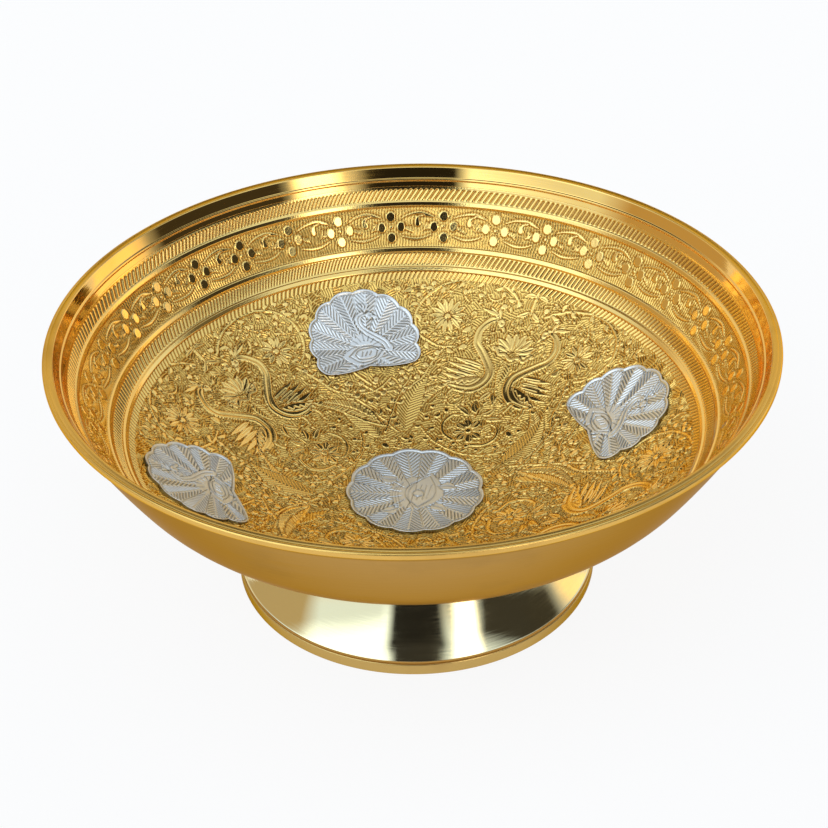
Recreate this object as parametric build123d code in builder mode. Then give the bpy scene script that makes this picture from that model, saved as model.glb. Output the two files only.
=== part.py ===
import os
from math import acos, asin, atan2, cos, hypot, radians, sin, sqrt

from build123d import *

os.makedirs("parts", exist_ok=True)

# Bowl, in millimetres, with heights counted from the table
rim_diameter = 254.0
overall_height = 102.5
wall = 2.6
lip_width = 3.5
lip_depth = 2.4
lip_round = 0.8
side_run = 20.3  # from the edge of the dished field out to the lip
field_rise = 38.4  # from the floor of the dish to the edge of the field
side_bow = 0.8  # how far the side bows out from a straight line
shoulder_radius = 45.0

# Raised flat beads between the bands of ornament, by their drop below the lip
bead_width = 2.4
bead_height = 0.4
bead_edge = 0.4  # run of the slope at each edge of a bead
upper_bead_drop = 13.4
middle_bead_drop = 29.5
line_width = 1.4
line_height = 0.4
line_drop = 4.6

# Silver medallions, bent to the dish
medallion_thickness = 0.6
solder_film = 0.1  # between a medallion and the dish
rosette_diameter = 53.0
rosette_lobes = 13
lobe_bulge = 1.9
medallion_margin = 21.2  # from the middle of a wall medallion out to the field's edge
medallion_turn = 14.4  # angle of the first wall medallion round the axis
fan_lobes = 10
fan_sweep = 238.0
fan_side = 20.5  # hub to the notches at the sides of the fan
fan_rise = 5.0  # how much longer the tail is at its top
fan_hub_drop = 8.0
base_notch = 1.6
base_bulge = 1.4

# Foot
foot_height = 25.4  # table to the underside of the dish
foot_diameter = 134.4
foot_edge = 4.6
foot_edge_round = 0.6
foot_ledge = 1.2
foot_ring = 4.5
foot_wall = 2.2
foot_flare = 1.5  # how far the skirt sweeps in from a straight cone
neck_diameter = 98.0
web = 2.4
boss_diameter = 34.0
boss_height = 1.2

# Fixing between bowl and foot
stud_diameter = 6.0
stud_projection = 2.0
stud_chamfer = 0.6
stud_head_diameter = 14.0
stud_head_clearance = 0.5  # round the head, in the bore of the foot
stud_head_gap = 1.0  # between the head and the washer
washer_diameter = 24.0
washer_thickness = 1.6
washer_clearance = 0.2
spring_diameter = 11.8
spring_thickness = 1.6
spring_slot = 1.2
nut_across_flats = 10.0
nut_height = 5.2
thread_clearance = 0.05

# Radii and heights that follow from the sizes above
rim_radius = rim_diameter / 2
lip_inner = rim_radius - lip_width
field_radius = lip_inner - side_run
medallion_reach = field_radius - medallion_margin
floor_z = foot_height + wall
field_z = floor_z + field_rise
dish_radius = (field_radius**2 + field_rise**2) / (2 * field_rise)
dish_z = floor_z + dish_radius
seat_radius = dish_radius + wall
neck_radius = neck_diameter / 2
foot_radius = foot_diameter / 2
bore_radius = stud_head_diameter / 2 + stud_head_clearance

# The side of the bowl is an arc from the field's edge to the lip
side_climb = overall_height - field_z
side_chord = hypot(side_run, side_climb)
side_lean = atan2(side_climb, side_run)
side_radius = (side_chord**2 / 4 + side_bow**2) / (2 * side_bow)
side_half_turn = asin(side_chord / (2 * side_radius))
field_slope = asin(field_radius / dish_radius)
shoulder_half_turn = (side_lean - side_half_turn - field_slope) / 2
shoulder_slope = field_slope + shoulder_half_turn
side_top_slope = side_lean + side_half_turn


def along(point, slope, amount):
    """Move a section point square to a surface of this slope, outwards and down."""
    return (point[0] + amount * sin(slope), point[1] - amount * cos(slope))


def dish_point(slope, radius):
    """Point of the dish's section where its surface has this slope."""
    return along((0, dish_z), slope, radius)


def under_dish(reach, gap):
    """Height of a point this far from the axis, with a gap below the underside of the bowl."""
    return dish_z - sqrt((seat_radius + gap) ** 2 - reach**2)


field_edge = (field_radius, field_z)
lip_edge = (lip_inner, overall_height)
side_centre_line = ((field_radius + lip_inner) / 2, (field_z + overall_height) / 2)
side_middle = along(side_centre_line, side_lean, side_bow)
side_centre = along(side_middle, side_lean, -side_radius)


def lower_meeting(centre_a, radius_a, centre_b, radius_b):
    """Lower point where two circles of the bowl's section cross."""
    apart = hypot(centre_b[0] - centre_a[0], centre_b[1] - centre_a[1])
    tilt = atan2(centre_b[1] - centre_a[1], centre_b[0] - centre_a[0])
    swing = acos((radius_a**2 + apart**2 - radius_b**2) / (2 * radius_a * apart))
    sides = [tilt - swing, tilt + swing]
    points = [(centre_a[0] + radius_a * cos(a), centre_a[1] + radius_a * sin(a)) for a in sides]
    return min(points, key=lambda point: point[1])


outer_corner = lower_meeting((0, dish_z), seat_radius, side_centre, side_radius + wall)


def side_point(drop):
    """Point of the inner side this far below the lip, and the slope there."""
    slope = acos((side_centre[1] - overall_height + drop) / side_radius)
    return along(side_centre, slope, side_radius), slope


shoulder_trim = shoulder_radius * (1 / cos(shoulder_half_turn) - 1)
shoulder_bead = (along(field_edge, shoulder_slope, -shoulder_trim), shoulder_slope)
beads = [
    (side_point(line_drop), line_width, line_height),
    (side_point(upper_bead_drop), bead_width, bead_height),
    (side_point(middle_bead_drop), bead_width, bead_height),
    (shoulder_bead, bead_width, bead_height),
]

with BuildPart() as bowl:
    with BuildSketch(Plane.XZ) as bowl_section:
        with BuildLine():
            ThreePointArc((0, floor_z), dish_point(field_slope / 2, dish_radius), field_edge)
            ThreePointArc(field_edge, side_middle, lip_edge)
            Line(lip_edge, along(lip_edge, side_top_slope, wall))
            ThreePointArc(
                along(lip_edge, side_top_slope, wall),
                along(side_middle, side_lean, wall),
                outer_corner,
            )
            ThreePointArc(
                outer_corner,
                dish_point(field_slope / 2, seat_radius),
                (0, foot_height),
            )
            Line((0, foot_height), (0, floor_z))
        make_face()
        inner_shoulder = bowl_section.vertices().sort_by_distance(field_edge)[0]
        fillet(inner_shoulder, shoulder_radius)
        outer_shoulder = bowl_section.vertices().sort_by_distance(outer_corner)[0]
        fillet(outer_shoulder, shoulder_radius + wall)
        with Locations((rim_radius, overall_height)):
            Rectangle(lip_width, lip_depth, align=(Align.MAX, Align.MAX))
        fillet(bowl_section.vertices().group_by(Axis.X)[-1], lip_round)
    revolve(axis=Axis.Z)
    for (point, slope), width, height in beads:
        heel = along(point, slope - radians(90), width / 2)
        toe = along(point, slope + radians(90), width / 2)
        heel_top = along(along(heel, slope, -height), slope + radians(90), bead_edge)
        toe_top = along(along(toe, slope, -height), slope - radians(90), bead_edge)
        heel_root = along(heel, slope, wall / 2)
        toe_root = along(toe, slope, wall / 2)
        with BuildSketch(Plane.XZ):
            with BuildLine():
                Polyline(heel, heel_top, toe_top, toe, toe_root, heel_root, close=True)
            make_face()
        revolve(axis=Axis.Z)
bowl.part.label = "bowl"
export_step(bowl.part, "parts/bowl.step")


def scallops(notches, bulge, hub):
    """Join the notches by arcs that swell away from the hub."""
    for start, end in zip(notches, notches[1:]):
        middle = (start + end) / 2
        ThreePointArc(start, middle + (middle - hub).normalized() * bulge, end)


medallion_back = dish_radius - solder_film
rosette_notch = rosette_diameter / 2 - lobe_bulge
rosette_step = radians(360 / rosette_lobes)
rosette_notches = [
    Vector(rosette_notch * cos(i * rosette_step), rosette_notch * sin(i * rosette_step))
    for i in range(rosette_lobes)
]

with BuildPart() as centre_medallion:
    with BuildSketch(Plane.XY.offset(floor_z)):
        with BuildLine():
            scallops(rosette_notches + rosette_notches[:1], lobe_bulge, Vector(0, 0))
        make_face()
    extrude(amount=dish_radius / 2, both=True)
    with Locations((0, 0, dish_z)):
        Sphere(medallion_back, mode=Mode.INTERSECT)
        Sphere(medallion_back - medallion_thickness, mode=Mode.SUBTRACT)
centre_medallion.part.label = "centre_medallion"
export_step(centre_medallion.part, "parts/centre_medallion.step")

# The peacock's fan: notches round a hub at the bird's body, longest at the top of the tail
fan_hub = Vector(0, -fan_hub_drop)
fan_start = radians(90 - fan_sweep / 2)
fan_step = radians(fan_sweep / fan_lobes)
fan_notches = []
for i in range(fan_lobes + 1):
    angle = fan_start + i * fan_step
    reach = fan_side + fan_rise * max(0, sin(angle))
    fan_notches.append(fan_hub + Vector(reach * cos(angle), reach * sin(angle)))
base_middle = (fan_notches[0] + fan_notches[-1]) / 2 + Vector(0, base_notch)

medallion_slope = asin(medallion_reach / dish_radius)
for i, place in enumerate(["right", "back", "left", "front"]):
    turn = radians(medallion_turn + 90 * i)
    outwards = Vector(cos(turn), sin(turn)) * sin(medallion_slope) - Vector(0, 0, cos(medallion_slope))
    medallion_plane = Plane(
        origin=Vector(0, 0, dish_z) + outwards * dish_radius,
        x_dir=(sin(turn), -cos(turn), 0),
        z_dir=-outwards,
    )
    with BuildPart() as wall_medallion:
        with BuildSketch(medallion_plane):
            with BuildLine():
                scallops(fan_notches, lobe_bulge, fan_hub)
                scallops([fan_notches[-1], base_middle, fan_notches[0]], base_bulge, fan_hub)
            make_face()
        extrude(amount=dish_radius / 2, both=True)
        with Locations((0, 0, dish_z)):
            Sphere(medallion_back, mode=Mode.INTERSECT)
            Sphere(medallion_back - medallion_thickness, mode=Mode.SUBTRACT)
    wall_medallion.part.label = f"wall_medallion_{place}"
    export_step(wall_medallion.part, f"parts/wall_medallion_{place}.step")

# The foot's skirt is an arc that sweeps in from the base edge to the neck
skirt_foot = Vector(foot_radius - foot_ledge, foot_edge)
skirt_neck = Vector(neck_radius, under_dish(neck_radius, 0))
skirt_chord = (skirt_neck - skirt_foot).length
skirt_lean = atan2(skirt_neck.Y - skirt_foot.Y, skirt_foot.X - skirt_neck.X)
skirt_inwards = Vector(-sin(skirt_lean), -cos(skirt_lean))
skirt_radius = (skirt_chord**2 / 4 + foot_flare**2) / (2 * foot_flare)
skirt_middle = (skirt_foot + skirt_neck) / 2 + skirt_inwards * foot_flare
skirt_centre = skirt_middle - skirt_inwards * skirt_radius


def inside_skirt(point):
    """The point of the skirt's inner face behind a point of its outer face."""
    return point + (point - skirt_centre).normalized() * foot_wall


boss_z = foot_height - web - boss_height
seat_stock = Vector(0, web)  # stock above the seat, which the bowl's underside trims

with BuildPart() as foot:
    with BuildSketch(Plane.XZ) as foot_section:
        with BuildLine():
            ThreePointArc(skirt_foot, skirt_middle, skirt_neck)
            Line(skirt_neck, skirt_neck + seat_stock)
            Line(skirt_neck + seat_stock, inside_skirt(skirt_neck) + seat_stock)
            Line(inside_skirt(skirt_neck) + seat_stock, inside_skirt(skirt_neck))
            ThreePointArc(
                inside_skirt(skirt_neck), inside_skirt(skirt_middle), inside_skirt(skirt_foot)
            )
            Line(inside_skirt(skirt_foot), skirt_foot)
        make_face()
        web_edge = (bore_radius + neck_radius) / 2
        with BuildLine():
            ThreePointArc(
                (bore_radius, under_dish(bore_radius, web)),
                (web_edge, under_dish(web_edge, web)),
                (neck_radius, under_dish(neck_radius, web)),
            )
            Line((neck_radius, under_dish(neck_radius, web)), skirt_neck + seat_stock)
            Line(skirt_neck + seat_stock, (bore_radius, skirt_neck.Y + web))
            Line((bore_radius, skirt_neck.Y + web), (bore_radius, under_dish(bore_radius, web)))
        make_face()
        with Locations((foot_radius, 0)):
            Rectangle(foot_ring, foot_edge, align=(Align.MAX, Align.MIN))
        with Locations((bore_radius, boss_z)):
            Rectangle(boss_diameter / 2 - bore_radius, boss_height + web, align=Align.MIN)
        fillet(foot_section.vertices().group_by(Axis.X)[-1], foot_edge_round)
    revolve(axis=Axis.Z)
    with Locations((0, 0, dish_z)):
        Sphere(seat_radius, mode=Mode.SUBTRACT)
foot.part.label = "foot"
export_step(foot.part, "parts/foot.step")

washer_z = boss_z - washer_thickness
spring_z = washer_z - spring_thickness
nut_z = spring_z - nut_height
stud_z = nut_z - stud_projection
stud_radius = stud_diameter / 2

with BuildPart() as fixing_stud:
    with BuildSketch(Plane.XY.offset(boss_z + stud_head_gap)):
        Circle(stud_head_diameter / 2)
    extrude(amount=floor_z - boss_z)
    with Locations((0, 0, dish_z)):
        Sphere(seat_radius, mode=Mode.SUBTRACT)
    with BuildSketch(Plane.XY.offset(stud_z)):
        Circle(stud_radius)
    extrude(amount=boss_z + stud_head_gap - stud_z)
    chamfer(fixing_stud.edges().group_by(Axis.Z)[0], stud_chamfer)
fixing_stud.part.label = "fixing_stud"
export_step(fixing_stud.part, "parts/fixing_stud.step")

with BuildPart() as plain_washer:
    with BuildSketch(Plane.XY.offset(washer_z)):
        Circle(washer_diameter / 2)
        Circle(stud_radius + washer_clearance, mode=Mode.SUBTRACT)
    extrude(amount=washer_thickness)
plain_washer.part.label = "plain_washer"
export_step(plain_washer.part, "parts/plain_washer.step")

with BuildPart() as spring_washer:
    with BuildSketch(Plane.XY.offset(spring_z)):
        Circle(spring_diameter / 2)
        Circle(stud_radius + washer_clearance, mode=Mode.SUBTRACT)
        Rectangle(spring_diameter, spring_slot, align=(Align.MIN, Align.CENTER), mode=Mode.SUBTRACT)
    extrude(amount=spring_thickness)
spring_washer.part.label = "spring_washer"
export_step(spring_washer.part, "parts/spring_washer.step")

with BuildPart() as hex_nut:
    with BuildSketch(Plane.XY.offset(nut_z)):
        RegularPolygon(nut_across_flats / 2, 6, major_radius=False)
        Circle(stud_radius + thread_clearance, mode=Mode.SUBTRACT)
    extrude(amount=nut_height)
hex_nut.part.label = "hex_nut"
export_step(hex_nut.part, "parts/hex_nut.step")
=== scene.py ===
import math

import bpy
import numpy as np
from mathutils import Euler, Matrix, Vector


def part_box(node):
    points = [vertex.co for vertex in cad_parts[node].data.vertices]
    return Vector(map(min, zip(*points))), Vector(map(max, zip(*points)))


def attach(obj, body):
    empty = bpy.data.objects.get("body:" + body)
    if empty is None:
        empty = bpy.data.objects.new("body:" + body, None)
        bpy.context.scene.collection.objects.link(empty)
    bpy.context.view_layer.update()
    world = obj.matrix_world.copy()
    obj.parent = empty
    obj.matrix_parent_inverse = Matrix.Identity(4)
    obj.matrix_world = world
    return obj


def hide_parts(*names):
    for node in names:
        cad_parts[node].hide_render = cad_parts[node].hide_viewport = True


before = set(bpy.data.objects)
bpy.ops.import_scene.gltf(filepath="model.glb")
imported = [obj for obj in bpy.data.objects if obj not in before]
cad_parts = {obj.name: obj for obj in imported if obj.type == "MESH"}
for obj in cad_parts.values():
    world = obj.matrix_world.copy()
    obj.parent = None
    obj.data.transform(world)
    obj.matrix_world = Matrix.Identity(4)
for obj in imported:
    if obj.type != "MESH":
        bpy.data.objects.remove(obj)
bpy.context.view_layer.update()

mm = 0.001
scene = bpy.context.scene
rng = np.random.default_rng(254)
print("frame loaded")

# Section of the bowl, in mm, as the solids have it
bowl = {
    "wall": 2.6,
    "lipWidth": 3.5,
    "lipDepth": 2.4,
    "lipRound": 0.8,
    "sideRun": 20.3,
    "sideBow": 0.8,
    "fieldRise": 38.4,
    "shoulderRadius": 45.0,
    "beadWidth": 2.4,
    "beadHeight": 0.4,
    "beadEdge": 0.4,  # run of the slope at each edge
    "beadDrops": (13.4, 29.5),  # the upper and the middle bead, below the lip
    "lineWidth": 1.4,
    "lineHeight": 0.4,
    "lineDrop": 4.6,
}
bowlLow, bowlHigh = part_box("bowl")
rimRadius = round(bowlHigh.x / mm, 1)
overallHeight = round(bowlHigh.z / mm, 1)
dishUnder = round(bowlLow.z / mm, 1)
lipInner = rimRadius - bowl["lipWidth"]
fieldRadius = lipInner - bowl["sideRun"]
floorZ = dishUnder + bowl["wall"]
fieldZ = floorZ + bowl["fieldRise"]
dishRadius = (fieldRadius**2 + bowl["fieldRise"] ** 2) / (2 * bowl["fieldRise"])
dishZ = floorZ + dishRadius
sideClimb = overallHeight - fieldZ
sideChord = math.hypot(bowl["sideRun"], sideClimb)
sideLean = math.atan2(sideClimb, bowl["sideRun"])
sideRadius = (sideChord**2 / 4 + bowl["sideBow"] ** 2) / (2 * bowl["sideBow"])
sideReach = sideRadius - bowl["sideBow"]
sideX = (fieldRadius + lipInner) / 2 - sideReach * math.sin(sideLean)
sideZ = (fieldZ + overallHeight) / 2 + sideReach * math.cos(sideLean)
topSlope = sideLean + math.asin(sideChord / (2 * sideRadius))


def lowerMeeting(centreA, radiusA, centreB, radiusB):
    apart = math.dist(centreA, centreB)
    tilt = math.atan2(centreB[1] - centreA[1], centreB[0] - centreA[0])
    swing = math.acos((radiusA**2 + apart**2 - radiusB**2) / (2 * radiusA * apart))
    ends = [tilt - swing, tilt + swing]
    return min(
        ((centreA[0] + radiusA * math.cos(a), centreA[1] + radiusA * math.sin(a)) for a in ends),
        key=lambda point: point[1],
    )


# The inside runs up in three arcs: dish, shoulder and side
shoulder = bowl["shoulderRadius"]
shoulderX, shoulderZ = lowerMeeting(
    (0, dishZ), dishRadius - shoulder, (sideX, sideZ), sideRadius - shoulder
)
dishSlope = math.atan2(shoulderX, dishZ - shoulderZ)
sideSlope = math.atan2(shoulderX - sideX, sideZ - shoulderZ)
slopeMarks = np.array([0, dishSlope, sideSlope, topSlope])
arcRadii = np.array([dishRadius, shoulder, sideRadius])
arcX = np.array([0, shoulderX, sideX])
arcZ = np.array([dishZ, shoulderZ, sideZ])
lengthMarks = np.concatenate([[0], np.cumsum(arcRadii * np.diff(slopeMarks))])
insideLength = lengthMarks[-1]  # along the surface from the middle of the dish to the lip


def section(length, offset):
    slope = np.interp(length, lengthMarks, slopeMarks)
    arc = np.searchsorted(lengthMarks[1:3], length)
    radius = arcRadii[arc] + offset
    return arcX[arc] + radius * np.sin(slope), arcZ[arc] - radius * np.cos(slope)


def lengthAtDrop(drop):
    return lengthMarks[2] + sideRadius * (
        math.acos((sideZ - overallHeight + drop) / sideRadius) - sideSlope
    )


upperBead, middleBead = (lengthAtDrop(drop) for drop in bowl["beadDrops"])
shoulderBead = (lengthMarks[1] + lengthMarks[2]) / 2
ridgeLine = lengthAtDrop(bowl["lineDrop"])


def unit(angle):
    return np.array([math.cos(angle), math.sin(angle)])


def rays(angles):
    return np.stack([np.cos(angles), np.sin(angles)], 1)


def leftOf(heading):
    return np.array([-heading[1], heading[0]])


def smoothStep(x):
    t = np.clip(x, 0, 1)
    return t * t * (3 - 2 * t)


def buildMesh(name, points, quads, marks=None, flat=None, caps=None):
    caps = np.zeros((0, 3), int) if caps is None else caps
    corners = np.concatenate([quads.ravel(), caps.ravel()]).astype(np.int32)
    starts = np.concatenate([np.arange(len(quads)) * 4, quads.size + np.arange(len(caps)) * 3])
    mesh = bpy.data.meshes.new(name)
    mesh.vertices.add(len(points))
    mesh.vertices.foreach_set("co", (np.asarray(points) * mm).astype(np.float32).ravel())
    mesh.loops.add(len(corners))
    mesh.loops.foreach_set("vertex_index", corners)
    mesh.polygons.add(len(starts))
    mesh.polygons.foreach_set("loop_start", starts.astype(np.int32))
    mesh.update(calc_edges=True)
    for mark, values in (marks or {}).items():
        layer = mesh.attributes.new(mark, "FLOAT", "POINT")
        layer.data.foreach_set("value", values.astype(np.float32).ravel())
    if flat is not None:  # a plain layout of the surface for baking
        low = flat.min(0)
        layout = (flat - low) / ((flat.max(0) - low) * 1.01)
        layer = mesh.uv_layers.new(name="OFBake")
        layer.data.foreach_set("uv", layout[corners].astype(np.float32).ravel())
    mesh.shade_smooth()
    return mesh


def addPiece(name, mesh, node, material):
    piece = bpy.data.objects.new(name, mesh)
    scene.collection.objects.link(piece)
    mesh.materials.append(material)
    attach(piece, "root")
    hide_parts(node)
    return piece


def gridFaces(rows, columns, closed=False):
    index = np.arange(rows * columns).reshape(rows, columns)
    if closed:
        index = np.hstack([index, index[:, :1]])
    return np.stack([index[:-1, :-1], index[:-1, 1:], index[1:, 1:], index[1:, :-1]], -1).reshape(-1, 4)


def turnOnAxis(profile, segments):
    angle = np.arange(segments) * 2 * np.pi / segments
    radius, height = np.asarray(profile, float).T
    x = radius[:, None] * np.cos(angle)
    y = radius[:, None] * np.sin(angle)
    z = np.broadcast_to(height[:, None], x.shape)
    return np.stack([x, y, z], -1).reshape(-1, 3), gridFaces(len(profile), segments, closed=True)


def fanFaces(ring, middle):
    return np.stack([np.roll(ring, -1), ring, np.full(len(ring), middle)], -1)


# Materials: each starts as a Principled shader, and shared effects are groups of nodes
markDepth = 0.0002  # of the finest tool marks, in metres


def newMaterial(name):
    material = bpy.data.materials.new(name)
    material.use_nodes = True
    return material, material.node_tree, material.node_tree.nodes["Principled BSDF"]


def newGroup(name, takes, gives):
    group = bpy.data.node_groups.new(name, "ShaderNodeTree")
    for socket, kind in takes.items():
        group.interface.new_socket(socket, in_out="INPUT", socket_type="NodeSocket" + kind)
    for socket, kind in gives.items():
        group.interface.new_socket(socket, in_out="OUTPUT", socket_type="NodeSocket" + kind)
    return group, group.nodes.new("NodeGroupInput"), group.nodes.new("NodeGroupOutput")


def setInputs(node, values):
    for socket, value in values.items():
        node.inputs[socket].default_value = value


def plug(tree, socket, value):
    if isinstance(value, (int, float, tuple)):
        socket.default_value = value
    else:
        tree.links.new(value, socket)


def addMath(tree, operation, first, second=0.0, clamp=False):
    node = tree.nodes.new("ShaderNodeMath")
    node.operation = operation
    node.use_clamp = clamp
    plug(tree, node.inputs[0], first)
    plug(tree, node.inputs[1], second)
    return node.outputs[0]


def addMix(tree, kind, factor, first, second):
    node = tree.nodes.new("ShaderNodeMix")
    node.data_type = kind
    start = {"FLOAT": 2, "RGBA": 6}[kind]
    plug(tree, node.inputs[0], factor)
    plug(tree, node.inputs[start], first)
    plug(tree, node.inputs[start + 1], second)
    return node.outputs[{"FLOAT": 0, "RGBA": 2}[kind]]


def addNoise(tree, vector, scale, detail):
    node = tree.nodes.new("ShaderNodeTexNoise")
    setInputs(node, {"Scale": scale, "Detail": detail})
    tree.links.new(vector, node.inputs["Vector"])
    return node.outputs["Fac"]


def spread(tree, value, low, high, start, end):
    node = tree.nodes.new("ShaderNodeMapRange")
    node.interpolation_type = "SMOOTHSTEP"
    setInputs(node, {"From Min": low, "From Max": high, "To Min": start, "To Max": end})
    tree.links.new(value, node.inputs["Value"])
    return node.outputs["Result"]


def engravedGroup():
    takes = {"Recess": "Float", "Polish": "Float", "Bright": "Color", "Deep": "Color"}
    takes.update({"Ground Roughness": "Float", "Polish Roughness": "Float"})
    gives = {"Color": "Color", "Roughness": "Float", "Height": "Float"}
    group, goesIn, goesOut = newGroup("engravedSurface", takes, gives)
    place = group.nodes.new("ShaderNodeTexCoord").outputs["Object"]
    cloud = addNoise(group, place, 60, 4)
    speck = addNoise(group, place, 1400, 2)
    # Cut ground turns toward the Deep colour with its depth: some tarnish, and painted shade standing in for
    # the shadow inside the cuts
    tarnishAndCutShade = addMath(group, "MULTIPLY", goesIn.outputs["Recess"], spread(group, cloud, 0.3, 0.7, 0.75, 1.0))
    color = addMix(group, "RGBA", tarnishAndCutShade, goesIn.outputs["Bright"], goesIn.outputs["Deep"])
    group.links.new(color, goesOut.inputs["Color"])
    rough = addMix(
        group, "FLOAT", goesIn.outputs["Polish"],
        goesIn.outputs["Ground Roughness"], goesIn.outputs["Polish Roughness"],
    )
    rough = addMath(group, "ADD", rough, spread(group, cloud, 0.35, 0.75, 0.0, 0.05))
    group.links.new(rough, goesOut.inputs["Roughness"])
    group.links.new(speck, goesOut.inputs["Height"])
    return group


def turnedGroup():
    takes = {"Bright": "Color", "Deep": "Color", "Roughness": "Float"}
    gives = {"Color": "Color", "Roughness": "Float", "Height": "Float"}
    group, goesIn, goesOut = newGroup("turnedSurface", takes, gives)
    place = group.nodes.new("ShaderNodeTexCoord").outputs["Object"]
    apart = group.nodes.new("ShaderNodeSeparateXYZ")
    group.links.new(place, apart.inputs[0])
    squareX = addMath(group, "MULTIPLY", apart.outputs["X"], apart.outputs["X"])
    squareY = addMath(group, "MULTIPLY", apart.outputs["Y"], apart.outputs["Y"])
    reach = addMath(group, "SQRT", addMath(group, "ADD", squareX, squareY))
    around = addMath(group, "ARCTAN2", apart.outputs["Y"], apart.outputs["X"])
    lathe = group.nodes.new("ShaderNodeCombineXYZ")  # radius, height and a slow turn round the axis
    group.links.new(reach, lathe.inputs["X"])
    group.links.new(apart.outputs["Z"], lathe.inputs["Y"])
    group.links.new(addMath(group, "MULTIPLY", around, 0.004), lathe.inputs["Z"])
    rings = addNoise(group, lathe.outputs[0], 1500, 3)
    cloud = addNoise(group, place, 26, 5)
    smudge = spread(group, cloud, 0.5, 0.72, 0.0, 1.0)
    color = addMix(group, "RGBA", smudge, goesIn.outputs["Bright"], goesIn.outputs["Deep"])
    group.links.new(color, goesOut.inputs["Color"])
    rough = addMath(group, "ADD", goesIn.outputs["Roughness"], spread(group, rings, 0.3, 0.7, -0.03, 0.03))
    rough = addMath(group, "ADD", rough, addMath(group, "MULTIPLY", smudge, 0.06))
    group.links.new(rough, goesOut.inputs["Roughness"])
    group.links.new(rings, goesOut.inputs["Height"])
    return group


def addBump(tree, shader, height, strength):
    bump = tree.nodes.new("ShaderNodeBump")
    setInputs(bump, {"Strength": strength, "Distance": markDepth})
    tree.links.new(height, bump.inputs["Height"])
    tree.links.new(bump.outputs["Normal"], shader.inputs["Normal"])


def dress(name, group, settings, bump, lacquer=0.0):
    material, tree, shader = newMaterial(name)
    setInputs(shader, {
        "Metallic": 1.0, "Specular Tint": settings["Bright"],  # colour kept at grazing angles
        "Coat Weight": 1.0 if lacquer else 0.0, "Coat Roughness": lacquer,
    })
    node = tree.nodes.new("ShaderNodeGroup")
    node.node_tree = group
    setInputs(node, settings)
    for mark in ("Recess", "Polish"):
        if mark in node.inputs:
            reader = tree.nodes.new("ShaderNodeAttribute")
            reader.attribute_name = mark.lower()
            tree.links.new(reader.outputs["Fac"], node.inputs[mark])
            if lacquer and mark == "Polish":  # lacquer is worn off the cut ground
                tree.links.new(reader.outputs["Fac"], shader.inputs["Coat Weight"])
    tree.links.new(node.outputs["Color"], shader.inputs["Base Color"])
    tree.links.new(node.outputs["Roughness"], shader.inputs["Roughness"])
    addBump(tree, shader, node.outputs["Height"], bump)
    return material


engraved = engravedGroup()
turned = turnedGroup()
# Deep is the colour of the cut ground: tarnish together with painted shade in the cuts
goldEngraved = dress("goldEngraved", engraved, {
    "Bright": (0.91, 0.585, 0.15, 1), "Deep": (0.27, 0.12, 0.02, 1),
    "Ground Roughness": 0.25, "Polish Roughness": 0.08,
}, 0.15, 0.12)
silverEngraved = dress("silverEngraved", engraved, {
    "Bright": (0.8, 0.775, 0.72, 1), "Deep": (0.17, 0.16, 0.135, 1),
    "Ground Roughness": 0.42, "Polish Roughness": 0.34,
}, 0.15)
# Outer wall: the same brass made darker, painted shade for the shadowed floor that the outside reflects
bowlSatinPaintedShade = dress("bowlSatinPaintedShade", turned, {
    "Bright": (0.56, 0.36, 0.15, 1), "Deep": (0.48, 0.31, 0.13, 1), "Roughness": 0.34,
}, 0.12)
lipSatin = dress("lipSatin", turned, {
    "Bright": (0.77, 0.47, 0.12, 1), "Deep": (0.64, 0.38, 0.1, 1), "Roughness": 0.28,
}, 0.1)
bowlMirror = dress("bowlMirror", turned, {
    "Bright": (0.91, 0.54, 0.12, 1), "Deep": (0.87, 0.49, 0.1, 1), "Roughness": 0.05,
}, 0.04, 0.05)
# Skirt: the brass made paler, a painted highlight for the washed-out lamp sheen in its mirror finish
footMirrorPaintedHighlight = dress("footMirrorPaintedHighlight", turned, {
    "Bright": (0.82, 0.69, 0.38, 1), "Deep": (0.8, 0.64, 0.31, 1), "Roughness": 0.07,
}, 0.05, 0.05)
# Base ring and underside: the same brass made darker, painted shade like that of the outer wall
footSatinPaintedShade = dress("footSatinPaintedShade", turned, {
    "Bright": (0.56, 0.37, 0.12, 1), "Deep": (0.48, 0.3, 0.1, 1), "Roughness": 0.3,
}, 0.15)
studBrass = dress("studBrass", turned, {
    "Bright": (0.68, 0.5, 0.22, 1), "Deep": (0.5, 0.35, 0.14, 1), "Roughness": 0.3,
}, 0.1)
zincSteel = dress("zincSteel", turned, {
    "Bright": (0.62, 0.62, 0.6, 1), "Deep": (0.45, 0.44, 0.42, 1), "Roughness": 0.35,
}, 0.1)
print("materials made")


# Relief: a canvas holds the height of each point of a surface, and a pen places motifs on it
relief = {
    "cutAt": 0.32,  # middle of the cut round an outline, and half its width
    "cutHalf": 0.4,
    "edgeRun": 0.34,
    "margin": 0.8,  # worked round a shape
    "unset": 99.0,
}
leaf = {
    "ribDepth": 0.18, "ribHalf": 0.34, "ribEnd": 0.85,  # share of the length
    "hatchLean": 0.9, "hatchDepth": 0.3, "hatchSharp": 3.2, "hatchDull": 0.6,
}


def newCanvas(x, y, step, ground):
    return {
        "x": x, "y": y, "step": step, "left": x.min(), "low": y.min(),
        "height": np.full(x.shape, ground), "polish": np.zeros(x.shape),
        "used": np.zeros(x.shape, bool), "far": np.full(x.shape, relief["unset"]),
    }


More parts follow.
